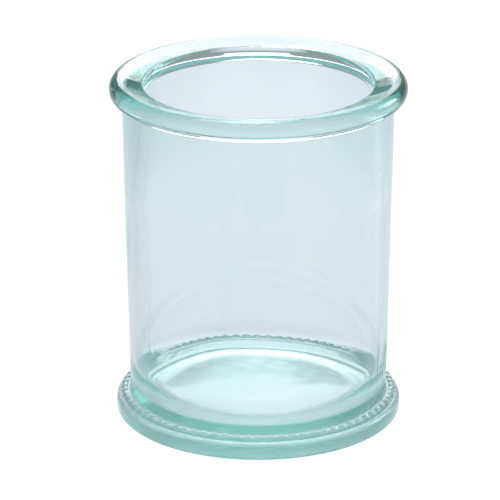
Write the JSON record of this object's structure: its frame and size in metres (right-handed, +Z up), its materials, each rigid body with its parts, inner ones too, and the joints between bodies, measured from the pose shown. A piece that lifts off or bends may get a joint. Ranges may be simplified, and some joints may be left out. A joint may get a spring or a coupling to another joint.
{
  "type": "candle jar",
  "caption": "Round pressed-glass candle jar with a thick rolled rim, a slightly tapered wall, a thick floor and a spreading foot with a ring of beads.",
  "frame": {"origin": "centre of the face that the jar stands on", "axes": "+Z up along the jar's axis, towards the mouth; X and Y are alike, because the jar is round"},
  "size_m": [0.084, 0.084, 0.1],
  "materials": {
    "glass": "clear recycled glass, pale blue-green, polished"
  },
  "bodies": {
    "root": {"glass_jar": "glass"}
  },
  "joints": []
}
